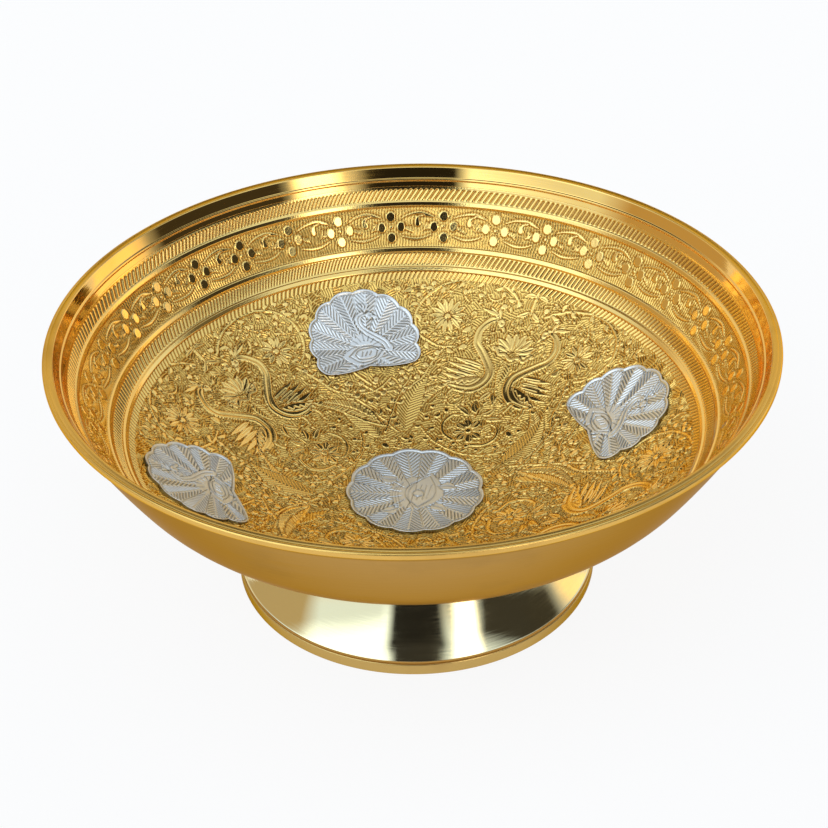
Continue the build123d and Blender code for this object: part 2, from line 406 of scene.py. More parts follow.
def areaOf(canvas, low, high):
    if canvas["step"] is None:
        return slice(None), slice(None)
    rows, columns = canvas["x"].shape
    start = np.floor((low - (canvas["left"], canvas["low"])) / canvas["step"]).astype(int)
    end = np.ceil((high - (canvas["left"], canvas["low"])) / canvas["step"]).astype(int) + 1
    return (
        slice(min(max(start[1], 0), rows), min(max(end[1], 0), rows)),
        slice(min(max(start[0], 0), columns), min(max(end[0], 0), columns)),
    )


def offsetsFrom(canvas, area, spot):
    return canvas["x"][area] - spot[0], canvas["y"][area] - spot[1]


def isUsed(canvas, spot, half):
    return canvas["used"][areaOf(canvas, spot - half, spot + half)].any()


def newPen(canvas, turn=90.0, mirror=1, axis=0.0, wobble=0.0):
    angle = math.radians(turn)
    return {
        "canvas": canvas, "mirror": mirror, "axis": axis, "wobble": wobble,
        "across": np.array([math.sin(angle), -math.cos(angle)]),
        "out": np.array([math.cos(angle), math.sin(angle)]),
    }


def onto(pen, points):
    spots = np.atleast_2d(np.asarray(points, float))
    if pen["wobble"]:
        spots = spots + rng.normal(0, pen["wobble"], spots.shape)
    across = pen["axis"] + pen["mirror"] * (spots[:, :1] - pen["axis"])
    return across * pen["across"] + spots[:, 1:] * pen["out"]


def smoothPath(points, perSpan=5):
    if len(points) < 3:
        return points
    ends = np.vstack([2 * points[0] - points[1], points, 2 * points[-1] - points[-2]])
    t = np.linspace(0, 1, perSpan, endpoint=False)[:, None]
    spans = []
    for a, b, c, d in zip(ends, ends[1:], ends[2:], ends[3:]):
        bend = (-a + 3 * b - 3 * c + d) * t**3 + (2 * a - 5 * b + 4 * c - d) * t**2
        spans.append(0.5 * (bend + (c - a) * t + 2 * b))
    return np.vstack(spans + [points[-1:]])


def raiseShape(canvas, area, d, level=0.0, polish=0.0, moat=0.2):
    height = canvas["height"][area]
    height -= moat * np.clip(1 - np.abs(d - relief["cutAt"]) / relief["cutHalf"], 0, 1)
    inside = smoothStep(0.5 - d / relief["edgeRun"])
    height *= 1 - inside
    height += level * inside
    shine = canvas["polish"][area]
    shine *= 1 - inside
    shine += polish * inside
    canvas["used"][area] |= d < 0.5


def strokeDistance(canvas, path, radii, reach):
    far = canvas["far"]
    for a, b, radiusA, radiusB in zip(path, path[1:], radii, radii[1:]):
        wide = reach + max(radiusA, radiusB)
        area = areaOf(canvas, np.minimum(a, b) - wide, np.maximum(a, b) + wide)
        run = b - a
        dx, dy = offsetsFrom(canvas, area, a)
        t = np.clip((dx * run[0] + dy * run[1]) / max(run @ run, 1e-9), 0, 1)
        d = np.hypot(dx - t * run[0], dy - t * run[1]) - radiusA - (radiusB - radiusA) * t
        far[area] = np.minimum(far[area], d)
    wide = reach + max(radii)
    area = areaOf(canvas, path.min(0) - wide, path.max(0) + wide)
    d = far[area].copy()
    far[area] = relief["unset"]
    return area, d


def drawStem(pen, points, radii, level=0.0, polish=0.5):
    path = smoothPath(onto(pen, points))
    widths = np.interp(np.linspace(0, 1, len(path)), np.linspace(0, 1, len(radii)), radii)
    area, d = strokeDistance(pen["canvas"], path, widths, relief["margin"])
    raiseShape(pen["canvas"], area, d, level, polish)


def cutLine(pen, points, width=0.6, depth=0.25):
    path = smoothPath(onto(pen, points))
    area, d = strokeDistance(pen["canvas"], path, np.zeros(len(path)), width)
    groove = np.clip(1 - d / (width * 0.6), 0, 1)
    pen["canvas"]["height"][area] -= depth * groove
    pen["canvas"]["polish"][area] *= 1 - 0.7 * groove


def drawLeaf(pen, base, tip, width, bend=0.0, hatch=0.0, rib=True, polish=0.6, level=0.0, blunt=0.75):
    canvas = pen["canvas"]
    start, end = onto(pen, [base, tip])
    bend *= pen["mirror"]
    length = math.dist(start, end)
    along = (end - start) / length
    wide = width / 2 + abs(bend) * length + relief["margin"]
    area = areaOf(canvas, np.minimum(start, end) - wide, np.maximum(start, end) + wide)
    dx, dy = offsetsFrom(canvas, area, start)
    t = (dx * along[0] + dy * along[1]) / length
    inside = np.clip(t, 0, 1)
    side = dy * along[0] - dx * along[1] - bend * length * 4 * inside * (1 - inside)
    half = width / 2 * np.sin(np.pi * inside**blunt)
    d = np.hypot(np.maximum(np.abs(side) - half, 0), np.maximum(np.abs(t - 0.5) - 0.5, 0) * length)
    d = np.where(d == 0, -np.minimum(half - np.abs(side), 1.0), d)
    raiseShape(canvas, area, d, level, polish)
    core = smoothStep(0.2 - d / 0.5)
    height = canvas["height"][area]
    if rib:
        line = np.clip(1 - np.abs(side) / leaf["ribHalf"], 0, 1)
        height -= leaf["ribDepth"] * core * line * (t < leaf["ribEnd"])
    if hatch:
        wave = ((t * length - leaf["hatchLean"] * np.abs(side)) / hatch) % 1
        height -= leaf["hatchDepth"] * core * np.clip(1 - np.abs(wave - 0.5) * leaf["hatchSharp"], 0, 1)
        canvas["polish"][area] *= 1 - leaf["hatchDull"] * core


def drawOval(pen, centre, halfAlong, halfAcross, direction=0.0, polish=1.0, level=0.0):
    canvas = pen["canvas"]
    spot = onto(pen, [centre])[0]
    big = max(halfAlong, halfAcross) + relief["margin"]
    area = areaOf(canvas, spot - big, spot + big)
    dx, dy = offsetsFrom(canvas, area, spot)
    along = dx * math.cos(direction) + dy * math.sin(direction)
    across = dy * math.cos(direction) - dx * math.sin(direction)
    d = (np.hypot(along / halfAlong, across / halfAcross) - 1) * min(halfAlong, halfAcross)
    raiseShape(canvas, area, d, level, polish)


def drawDot(pen, centre, radius, polish=1.0, level=0.0):
    drawOval(pen, centre, radius, radius, 0.0, polish, level)


def ringSpots(centre, radius, count, start=0.0, sweep=360.0):
    gaps = count if sweep == 360 else count - 1
    angles = np.radians(start + np.arange(count) * sweep / gaps)
    return np.asarray(centre) + radius * rays(angles)


def drawFlower(pen, centre, radius, petals, width, core, start=0.0):
    inner = ringSpots(centre, core * 0.8, petals, start)
    outer = ringSpots(centre, radius, petals, start)
    for base, tip in zip(inner, outer):
        drawLeaf(pen, base, tip, width, polish=0.7, blunt=1.25)
    drawDot(pen, centre, core, polish=0.8)


def drawVine(pen, points, radius, leafEvery, leafLength, leafWidth, first=1):
    drawStem(pen, points, [radius, radius * 0.8])
    path = smoothPath(np.asarray(points, float), 8)
    run = np.concatenate([[0], np.cumsum(np.hypot(*np.diff(path, axis=0).T))])
    side = first
    for at in np.arange(leafEvery * 0.6, run[-1], leafEvery):
        spot = np.array([np.interp(at, run, path[:, 0]), np.interp(at, run, path[:, 1])])
        ahead = np.array([np.interp(at + 1, run, path[:, 0]), np.interp(at + 1, run, path[:, 1])])
        heading = (ahead - spot) / max(math.dist(ahead, spot), 1e-6)
        across = leftOf(heading) * side
        tip = spot + (heading * 0.75 + across * 0.75) * leafLength
        drawLeaf(pen, spot + across * radius, tip, leafWidth, bend=0.12 * side, rib=False)
        side = -side


def strokeGround(x, y, patch, pitch, seed):
    count = 90
    picks = np.random.default_rng(seed).random((count, count, 4))
    column = np.floor(x / patch).astype(int)
    row = np.floor(y / patch).astype(int)
    nearest = np.full(x.shape, 1e9)
    second = nearest.copy()
    found = np.zeros(x.shape + (4,))
    for i in (-1, 0, 1):
        for j in (-1, 0, 1):
            pick = picks[(row + j) % count, (column + i) % count]
            dx = x - (column + i + pick[..., 0]) * patch
            dy = y - (row + j + pick[..., 1]) * patch
            d = np.hypot(dx, dy)
            closer = d < nearest
            second = np.where(closer, nearest, np.minimum(second, d))
            nearest = np.where(closer, d, nearest)
            here = np.stack([dx, dy, pick[..., 2] * np.pi, pick[..., 3]], -1)
            found = np.where(closer[..., None], here, found)
    dx, dy, angle, phase = np.moveaxis(found, -1, 0)
    along = dy * np.cos(angle) - dx * np.sin(angle)
    across = dx * np.cos(angle) + dy * np.sin(angle) + 0.05 * along**2
    wave = np.cos(2 * np.pi * (across / pitch + phase))
    return smoothStep((wave + 0.4) / 1.3) * smoothStep((second - nearest) / 0.7)


def rounded(wave, half):  # round-topped strokes of a repeating wave
    return np.sqrt(np.clip(1 - (np.abs(wave - 0.5) / half) ** 2, 0, 1))


def recessOf(height, depth):
    return np.clip(-height / depth, 0, 1) ** 1.3


# Field: birds, flowers and vines in four quarters between the wall medallions
field = {
    "step": 0.25,  # between the points of the mesh
    "ground": -0.1,
    "strokeDepth": 0.36,
    "strokePitch": 1.05,
    "strokePatch": 3.8,
    "strokeSeed": 11,
    "quarterTurn": 59.4,  # middle of the first quarter, from the +X axis
    "birdAxis": 0.9,  # the pair of birds mirror about this line
    "tickWidth": 3.2,  # ring of strokes inside the shoulder bead
    "tickPitch": 2.0,
    "tickDepth": 0.36,
    "tickHalf": 0.36,  # shares of the pitch
    "tickLean": 0.8,
    "edgeTuck": 0.35,  # share of the bead that the field runs under
    "recessDepth": 0.5,
    "wobble": 0.16,
    "centreClear": 26.6,  # kept free of ornament for the medallions
    "sideClear": 22.5,
    "sectors": 8,
    "scrolls": 1500,  # tries
    "fillers": ((2.5, 5000), (1.9, 7000), (1.4, 9000), (1.0, 9000), (0.75, 6000)),  # size and tries
}
medallionTurn = 14.4
medallionMargin = 21.2  # from the middle of a wall medallion out to the field's edge
medallionSlope = math.asin((fieldRadius - medallionMargin) / dishRadius)
fieldEdge = shoulderBead - field["edgeTuck"] * bowl["beadWidth"]


def paintBird(pen):
    tail = [(20.5, 57.8), (25, 51), (27.6, 44.5), (28.2, 38), (27.4, 30.6)]
    drawStem(pen, tail, [0.7, 2.6, 3.9, 3.4, 0.5])
    plume = smoothPath(np.array([(21.5, 56.8), (25, 51), (27.6, 44.5), (28.2, 38), (27.6, 32)]), 6)
    cutLine(pen, plume[2:], 0.7, 0.3)
    for i in range(2, len(plume) - 2):
        heading = (plume[i + 1] - plume[i - 1]) / math.dist(plume[i + 1], plume[i - 1])
        across = leftOf(heading)
        half = 3.3 * math.sin(math.pi * (i / len(plume)) ** 0.8)
        for side in (-1, 1):
            tip = plume[i] + across * side * half - heading * 0.7 * half
            cutLine(pen, [plume[i] + heading * 0.2, tip], 0.6, 0.3)
    for i in range(5):
        base = (9.6 + 0.5 * i, 70.8 - 2.4 * i)
        drawLeaf(pen, base, (23.4 + 2.2 * math.sin(i * 0.8), 70.6 - 3.0 * i), 2.5, polish=1.0, rib=False)
        cutLine(pen, [base, (base[0] + 8, base[1] - 0.3)], 0.5, 0.2)
    drawLeaf(pen, (6.6, 65.5), (21.5, 57.2), 6.6, bend=-0.06, polish=0.9, rib=False)
    for i in range(4):
        x, y = 10.5 + 2.2 * i, 63.8 - 1.2 * i
        cutLine(pen, [(x, y), (x + 1.1, y - 2), (x + 2.4, y - 1.4)], 0.5, 0.22)
    neck = [
        (10.7, 90.2), (11.3, 92.1), (13.2, 92.8), (15.8, 91.5), (17.9, 88.4), (18.8, 84.6), (17.5, 80.4),
        (13.9, 77.2), (9.6, 73.4), (6.6, 70), (5.7, 66.6), (6.8, 62.6), (9.8, 59.4), (14, 57.8), (18.4, 57.4),
    ]
    drawStem(pen, neck, [1.2, 1.3, 1.6, 1.8, 2.0, 1.9, 1.2], polish=0.8)
    cutLine(pen, neck[1:], 1.1, 0.2)
    drawLeaf(pen, (11.2, 91.2), (8.7, 87.8), 1.7, polish=0.8, rib=False)
    drawDot(pen, (11.3, 91.4), 1.6)
    cutLine(pen, [(11.2, 91.6), (11.4, 91.5)], 0.7, 0.35)
    for leg in ([(11, 57.4), (10.3, 54.4), (9.2, 51.8)], [(17, 56.8), (17.6, 53.8), (16.6, 51)]):
        drawStem(pen, leg, [0.5, 0.4])
        toe = np.array(leg[-1])
        for claw in ((-1.8, -1.0), (0.1, -1.8), (1.8, -0.9)):
            drawStem(pen, [toe, toe + claw], [0.35, 0.25])
    for i in range(3):
        drawLeaf(pen, (13.4 + 0.5 * i, 93.6), (15.2 + 3.6 * i, 98.4 - 1.6 * i), 1.7, polish=0.8, rib=False)


def paintSide(pen):
    drawLeaf(pen, (30, 21.6), (57.5, 26.8), 9.5, bend=0.1, hatch=1.45, polish=0.4)
    drawVine(pen, [(25.5, 28), (30.5, 29.6), (38, 31.6), (46, 33), (55, 33.4)], 0.55, 4.2, 3.6, 1.7)
    stem = [(29.6, 72.5), (30.6, 64), (30.8, 56), (33, 50), (37.6, 44.6), (43, 41.2), (50, 40.2)]
    drawStem(pen, stem, [0.5, 0.45])
    for spot in (
        (30.5, 69.5), (32.3, 62.2), (32.6, 55.4), (37.4, 51.6), (34.4, 46.8), (40.6, 48.4), (46, 44.4),
        (35.2, 40.6), (41.6, 38.6), (48, 37.8), (54.5, 37.4), (61.6, 36.4),
    ):
        drawDot(pen, spot, 1.2)
    for base, tip in (
        ((30.5, 66), (33.8, 66.2)), ((30.7, 58.6), (34.2, 58.4)),
        ((34.6, 48), (37.8, 49)), ((40, 43), (42.6, 44.8)),
    ):
        drawLeaf(pen, base, tip, 1.4, rib=False)


def paintQuarter(pen, mirrored):
    drawFlower(pen, (0.9, 40.2), 6.6, 8, 3.4, 1.2, start=30)
    for half in (pen, mirrored):
        paintSide(half)
        paintBird(half)
        drawStem(half, [(4.4, 33.6), (9.6, 35.6), (12.2, 40), (11, 45), (8.2, 46.4)], [0.75, 0.45])
        drawLeaf(half, (4.6, 47.4), (11.6, 49.2), 2.8, bend=0.12)
        drawLeaf(half, (2.2, 49.4), (5.4, 54.6), 2.8, bend=-0.1)
        drawVine(half, [(0.9, 28.6), (7, 29.2), (13, 31), (19, 35)], 0.6, 3.4, 3.4, 1.8)
        for radius, spots in (
            (0.95, ((3.4, 32.4), (8.4, 32.2), (14.6, 36), (19.4, 40), (19.8, 46))),
            (1.7, ((15.6, 109), (22.2, 107.8), (30.4, 105.6), (38, 102.6))),
            (1.15, ((46.6, 96.4), (50, 93), (46.4, 91.6), (50.6, 88.8))),
            (1.3, ((4.6, 108.6), (7.4, 101.6), (13.4, 98.6))),
        ):
            for spot in spots:
                drawDot(half, spot, radius)
    drawStem(pen, [(0.9, 110), (0.9, 104), (0.9, 98.6)], [0.7, 0.6])
    drawStem(pen, [(42.6, 45), (43, 50), (43.4, 55)], [0.45, 0.4])
    for half in (pen, mirrored):
        drawLeaf(half, (1.4, 106.4), (7, 105.2), 2.1, bend=0.1)
        drawLeaf(half, (1.4, 99.6), (6.6, 96.4), 2.4, bend=-0.1)
        drawLeaf(half, (1.2, 60.6), (4, 54.8), 2.6, bend=0.08)
    for base, tip in zip(ringSpots((0.9, 79.8), 1.4, 8, 6, 168), ringSpots((0.9, 79.8), 10.2, 8, 6, 168)):
        drawLeaf(pen, base, tip, 3.3, polish=0.8, blunt=1.3)
    cup = [(-7, 80.4), (-5.2, 78), (-2, 79), (0.9, 77.5), (3.8, 79), (7, 78), (8.8, 80.4)]
    drawStem(pen, cup, [0.6, 0.85, 0.6], polish=0.8)
    drawLeaf(pen, (0.9, 76), (0.9, 63.6), 4.6, hatch=1.4)
    drawVine(pen, [
        (-5, 101.4), (-11, 105.4), (-18, 107), (-26.5, 105.8), (-34.4, 102.3), (-41.5, 96.5), (-45.3, 89),
        (-46, 82.5), (-44.2, 77.3), (-40, 73.6), (-34.4, 72.3), (-28.6, 72.6), (-24, 75),
    ], 0.65, 4.6, 4.2, 2.0)
    drawFlower(pen, (-32.8, 86.3), 8.2, 14, 2.1, 1.3)
    drawVine(pen, [
        (8, 99), (15, 102.8), (22.3, 104), (31, 103), (38.6, 99.6), (43.4, 94.6), (45.4, 88.4), (44.2, 82),
        (41, 77.4), (36.6, 74.2), (32.4, 73.4),
    ], 0.65, 4.6, 4.0, 2.0, first=-1)
    drawFlower(pen, (29.6, 83.4), 7.2, 11, 2.3, 1.3)


scroll = {
    "step": 0.9,
    "look": 1.3,  # ahead, for a free spot
    "clear": 0.75,
    "most": 22,  # steps
    "least": 7,
    "tighten": 1.04,
    "leafEvery": 3,
    "leafWidth": 1.7,
}


def growScroll(pen, start):
    canvas = pen["canvas"]
    heading = rng.uniform(0, 2 * math.pi)
    curl = rng.choice([-1, 1]) * rng.uniform(0.1, 0.26)
    path = [start]
    while len(path) < scroll["most"]:
        if isUsed(canvas, path[-1] + scroll["look"] * unit(heading), scroll["clear"]):
            break
        path.append(path[-1] + scroll["step"] * unit(heading))
        heading += curl
        curl *= scroll["tighten"]
    if len(path) < scroll["least"]:
        return 0
    drawStem(pen, path[::2] + path[-1:], [0.3, 0.5, 0.42])
    side = 1
    for i in range(2, len(path) - 1, scroll["leafEvery"]):
        ahead = path[i + 1] - path[i - 1]
        ahead = ahead / np.hypot(*ahead)
        across = leftOf(ahead) * side
        tip = path[i] + (ahead * 0.7 + across * 0.8) * rng.uniform(2.6, 3.4)
        if not isUsed(canvas, tip, 0.5):
            base = path[i] + across * 0.4
            drawLeaf(pen, base, tip, scroll["leafWidth"], bend=0.14 * side, rib=False, blunt=1.1)
        side = -side
    drawOval(pen, path[-1], 1.25, 0.9, heading, polish=0.7)
    return 1


def drawFiller(pen, centre, size):
    toward = unit(rng.uniform(0, 2 * math.pi))
    side = leftOf(toward)
    kind = rng.integers(0, 5)
    if kind == 0:  # a sprig of three leaves
        base = centre - toward * size
        drawLeaf(pen, base, centre + toward * size, size * 0.85, rib=False)
        drawLeaf(pen, base, centre + side * size, size * 0.7, bend=0.1, rib=False)
        drawLeaf(pen, base, centre - side * size, size * 0.7, bend=-0.1, rib=False)
    elif kind == 1:  # a curled bud
        curl = [centre - toward * size, centre - side * size * 0.5, centre + toward * size * 0.5]
        drawStem(pen, curl + [centre + side * size * 0.4], [0.35, size * 0.36])
    elif kind == 4:  # a bud
        drawOval(pen, centre, size * 0.7, size * 0.5, rng.uniform(0, 3), polish=0.9)
    else:  # a single leaf
        tip = centre + toward * size
        drawLeaf(pen, centre - toward * size, tip, size, bend=0.16, blunt=1.2, rib=kind == 2)


def fillField(canvas, reach):
    pen = newPen(canvas)
    grown = 0
    for centre in rng.uniform(-reach, reach, (field["scrolls"], 2)):
        if math.hypot(*centre) < reach and not isUsed(canvas, centre, 1.0):
            grown += growScroll(pen, centre)
    placed = 0
    for size, tries in field["fillers"]:
        for centre in rng.uniform(-reach, reach, (tries, 2)):
            if math.hypot(*centre) < reach and not isUsed(canvas, centre, size * 0.85):
                drawFiller(pen, centre, size)
                placed += 1
    print("scrolls", grown, "fillers", placed)


def paintField():
    half = math.ceil(fieldEdge / field["step"])
    span = np.arange(-half, half + 1) * field["step"]
    x, y = np.meshgrid(span, span)
    canvas = newCanvas(x, y, field["step"], field["ground"])
    strokes = strokeGround(x, y, field["strokePatch"], field["strokePitch"], field["strokeSeed"])
    canvas["height"] -= field["strokeDepth"] * strokes
    reach = np.hypot(x, y)
    canvas["used"][reach < field["centreClear"]] = True
    tickStart = shoulderBead - bowl["beadWidth"] / 2 - field["tickWidth"]
    for i in range(4):
        spot = dishRadius * medallionSlope * unit(math.radians(medallionTurn + 90 * i))
        canvas["used"][np.hypot(x - spot[0], y - spot[1]) < field["sideClear"]] = True
    for i in range(4):
        turn = field["quarterTurn"] + 90 * i
        pens = [newPen(canvas, turn, side, field["birdAxis"], field["wobble"]) for side in (1, -1)]
        paintQuarter(*pens)
    canvas["used"][reach > tickStart - 0.4] = True
    fillField(canvas, tickStart)
    phase = np.arctan2(y, x) * round(2 * math.pi * tickStart / field["tickPitch"]) / (2 * np.pi)
    wave = (phase + (reach - tickStart) / field["tickWidth"] * field["tickLean"]) % 1
    ticks = field["tickDepth"] * (rounded(wave, field["tickHalf"]) - 1)
    ring = smoothStep((reach - tickStart) / 0.3)
    canvas["height"] = canvas["height"] * (1 - ring) + ticks * ring
    canvas["polish"] = canvas["polish"] * (1 - ring) + 0.5 * ring * (ticks > -0.2)
    return canvas


def fieldPieces():
    canvas = paintField()
    x, y, height = canvas["x"], canvas["y"], canvas["height"]
    length = np.hypot(x, y)
    radius, z = section(np.minimum(length, fieldEdge + 1), -height)
    scale = radius / np.maximum(length, 1e-9)
    points = np.stack([x * scale, y * scale, z], -1).reshape(-1, 3)
    faces = gridFaces(*x.shape)
    faces = faces[(length.ravel()[faces] < fieldEdge).all(1)]
    middle = points[faces].mean(1)
    turn = (np.degrees(np.arctan2(middle[:, 1], middle[:, 0])) - medallionTurn) % 360
    sector = (turn // (360 / field["sectors"])).astype(int)
    flat = np.stack([x, y], -1).reshape(-1, 2)
    marks = {"recess": recessOf(height, field["recessDepth"]).ravel(), "polish": canvas["polish"].ravel()}
    for i in range(field["sectors"]):
        kept, index = np.unique(faces[sector == i], return_inverse=True)
        mesh = buildMesh(
            f"fieldSkin{i}", points[kept], index.reshape(-1, 4),
            {mark: values[kept] for mark, values in marks.items()}, flat[kept],
        )
        addPiece(f"fieldSkin{i}", mesh, "bowl", goldEngraved)


fieldPieces()
print("field pieces made")

# Bands of ornament on the side: rope, flowers, rope, with beads between
band = {
    "start": 7.4,  # from the lip, along the surface
    "end": 0.55,  # past the shoulder bead
    "rowStep": 0.26,
    "columns": 2640,
    "ground": -0.06,
    "strokeDepth": 0.32,
    "strokePitch": 1.15,
    "flowers": 33,
    "flowerTurn": 104.7,
    "petals": ((0, 3.9, 1.7, 2.1), (0.5, 4.35, 2.1, 1.9), (1, 3.9, 1.7, 2.1), (1.5, 4.35, 2.1, 1.9)),
    "ropeStrokes": 390,
    "ropeEdges": ((8.6, 14.0), (34.7, 40.2)),
    "ropeLean": 1.5,  # strokes that a stroke leans across
    "ropeDepth": 0.42,
    "ropeHalf": 0.37,  # share of the stroke's pitch
    "recessDepth": 0.5,
    "wobble": 0.1,
    "sectors": 4,
    "tuckTop": 0.6,  # how far the skin's ends go in under the plain band and the field
    "tuckLow": 0.75,
}


def beadBump(length, middle, width, height):
    return height * np.clip((width / 2 - np.abs(length - middle)) / bowl["beadEdge"], 0, 1)


def paintFlower(pen, here):
    for turn, reach, halfAlong, halfAcross in band["petals"]:
        angle = turn * math.pi
        drawOval(pen, here + reach * unit(angle), halfAlong, halfAcross, angle)
    drawDot(pen, here, 0.65)


def paintGap(pen, here, pitch):
    upper = [(4.2, 3.5), (7.3, 4.8), (11.4, 5.5), (14.2, 4.9), (pitch - 4.2, 3.8)]
    lower = [(4.4, -4.0), (8.8, -5.0), (13.0, -4.6), (pitch - 5.0, -3.2)]
    drop = [(13.0, 4.4), (11.4, 4.0), (10.6, 2.6), (10.7, 1.2)]
    drawStem(pen, here + upper, [0.2, 0.35, 0.55, 0.7, 0.25], polish=1)
    drawStem(pen, here + lower, [0.2, 0.5, 0.4, 0.2], polish=1)
    drawStem(pen, here + drop, [0.25, 0.4, 0.85, 1.1], polish=1)
    for i in range(3):
        base = here + (13.0 + 1.1 * i, -1.8 + 0.2 * i)
        drawLeaf(pen, base, base + (1.4, 3.6 - 0.6 * i), 0.9, bend=-0.12, rib=False)
        base = here + (8.6 - 1.0 * i, -2.6 + 0.5 * i)
        drawLeaf(pen, base, base + (-0.6, 2.6 - 0.4 * i), 0.8, bend=0.1, rib=False)


def paintBand():
    end = insideLength - shoulderBead + 0.5 * bowl["beadWidth"] + band["end"]
    rows = np.arange(band["start"], end, band["rowStep"])
    flowerLow = insideLength - middleBead - bowl["beadWidth"] / 2
    flowerHigh = insideLength - upperBead + bowl["beadWidth"] / 2
    middle = (flowerLow + flowerHigh) / 2
    girth = float(section(insideLength - middle, 0.0)[0])
    pitch = 2 * math.pi * girth / band["flowers"]
    step = 2 * math.pi * girth / band["columns"]
    pad = int(pitch / step)
    x, y = np.meshgrid(np.arange(-pad, band["columns"] + pad) * step, middle - rows[::-1])
    canvas = newCanvas(x, y, np.array([step, band["rowStep"]]), band["ground"])
    drift = 0.22 * np.sin(1.1 * y + 0.3 * x) + 0.3 * np.sin(0.23 * x)
    wave = np.cos(2 * np.pi * (x + drift) / band["strokePitch"])
    canvas["height"] -= band["strokeDepth"] * smoothStep((wave + 0.3) / 1.2)
    pen = newPen(canvas, wobble=band["wobble"])
    for k in range(-1, band["flowers"] + 2):
        here = np.array([(k + 0.5) * pitch, 0.0])
        paintGap(pen, here, pitch)
        paintFlower(pen, here)
    keep = slice(pad, pad + band["columns"])
    turn = (np.arange(band["columns"]) / band["columns"] - 0.5 / band["flowers"]) * 2 * np.pi
    theta = math.radians(band["flowerTurn"]) - turn
    return rows, theta, canvas["height"][::-1, keep].copy(), canvas["polish"][::-1, keep].copy()


def paintRopes(rows, theta, height, polish):
    drift = 3.4 * np.sin(3 * theta + 0.4) + 1.8 * np.sin(5 * theta + 2.0)  # hand-set strokes crowd and open
    turn = (theta * band["ropeStrokes"] / (2 * np.pi) + drift)[None, :]
    lean = band["ropeLean"] + 0.5 * np.sin(3 * theta + 2.2)[None, :]
    for low, high in band["ropeEdges"]:
        inside = (rows >= low - 0.6) & (rows <= high + 0.6)
        s = rows[inside][:, None]
        wave = (-turn + lean * (s - low) / (high - low)) % 1
        strand = band["ropeDepth"] * (rounded(wave, band["ropeHalf"]) - 1)
        fade = smoothStep((s - low - 0.4) / 0.5) * smoothStep((high - 0.3 - s) / 0.5)
        height[inside] = strand * fade - 0.05 * (1 - fade)
        polish[inside] = np.where(fade > 0.5, 0.45, 0.9)


def bandPieces():
    rows, theta, height, polish = paintBand()
    lengths = insideLength - rows
    paintRopes(rows, theta, height, polish)
    plain = rows < band["ropeEdges"][0][0]
    height[plain] = 0.0
    polish[plain] = 1.0
    half = bowl["beadWidth"] / 2
    for middle in (upperBead, middleBead, shoulderBead):
        for edge in (-half, bowl["beadEdge"] - half, half - bowl["beadEdge"], half):
            lengths[np.abs(lengths - middle - edge).argmin()] = middle + edge  # rows move onto the edges
        on = np.abs(lengths - middle) < half + 0.01
        height[on] = beadBump(lengths[on], middle, bowl["beadWidth"], bowl["beadHeight"])[:, None]
        polish[on] = 1.0
    height[lengths < shoulderBead - half] = -band["tuckLow"]
    height[0] = -band["tuckTop"]
    radius, z = section(np.broadcast_to(lengths[:, None], height.shape), -height)
    points = np.stack([radius * np.cos(theta), radius * np.sin(theta), z], -1)
    recess = recessOf(height, band["recessDepth"])
    per = band["columns"] // band["sectors"]
    for i in range(band["sectors"]):
        columns = np.arange(i * per, i * per + per + 1) % band["columns"]
        flat = np.stack(np.meshgrid(np.arange(per + 1.0), rows), -1).reshape(-1, 2)
        mesh = buildMesh(
            f"bandSkin{i}", points[:, columns].reshape(-1, 3), gridFaces(len(rows), per + 1),
            {"recess": recess[:, columns], "polish": polish[:, columns]}, flat,
        )
        addPiece(f"bandSkin{i}", mesh, "bowl", goldEngraved)


bandPieces()
print("band pieces made")

# Shell of the bowl: outside, lip, the plain band below it, and a backing under the engraved skins
shell = {
    "segments": 540,
    "backingRings": 24,
    "plainRings": 60,
    "outsideRings": 70,
    "backing": 0.95,  # below the engraved surface
    "overlap": 0.5,
    "hub": 0.4,  # radius that the caps close
    "lipEdge": 0.35,
    "lipGap": 0.3,  # left for the rounding of the lip
    "lipGroove": (0.55, 0.3, 0.22),  # turned line in the lip: from the outer round, width and depth
}


def roundCorner(centre, radius, start, end, count=7):
    angles = np.radians(np.linspace(start, end, count))
    return [(centre[0] + radius * math.cos(a), centre[1] + radius * math.sin(a)) for a in angles]


